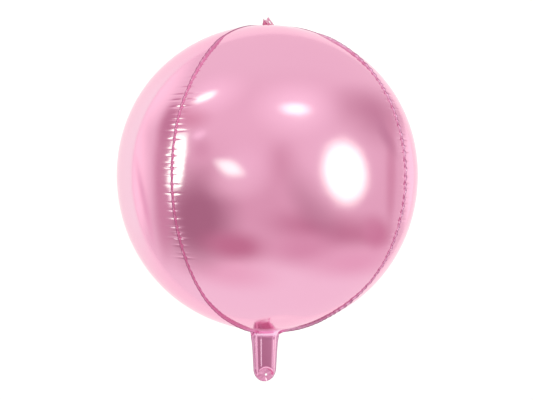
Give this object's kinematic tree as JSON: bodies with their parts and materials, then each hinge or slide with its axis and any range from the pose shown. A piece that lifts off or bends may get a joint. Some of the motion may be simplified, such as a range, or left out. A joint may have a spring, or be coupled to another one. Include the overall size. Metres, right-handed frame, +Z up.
{
  "type": "sphere foil balloon",
  "caption": "Inflated ball-shaped balloon of welded metallised film panels with raised seams, a finned crown and a flat-ended filling neck, lying on its side.",
  "frame": {"origin": "middle of the small flat spot that the balloon lies on, straight below the middle of the ball", "axes": "+Y along the balloon's own axis from the filling neck to the crown, +Z up through the middle of the front panel, +X to the right panel"},
  "size_m": [0.4, 0.4945, 0.398],
  "materials": {
    "pink_foil": "polished"
  },
  "bodies": {
    "root": {"front_panel": "pink_foil", "back_panel": "pink_foil", "left_panel": "pink_foil", "right_panel": "pink_foil"}
  },
  "joints": []
}
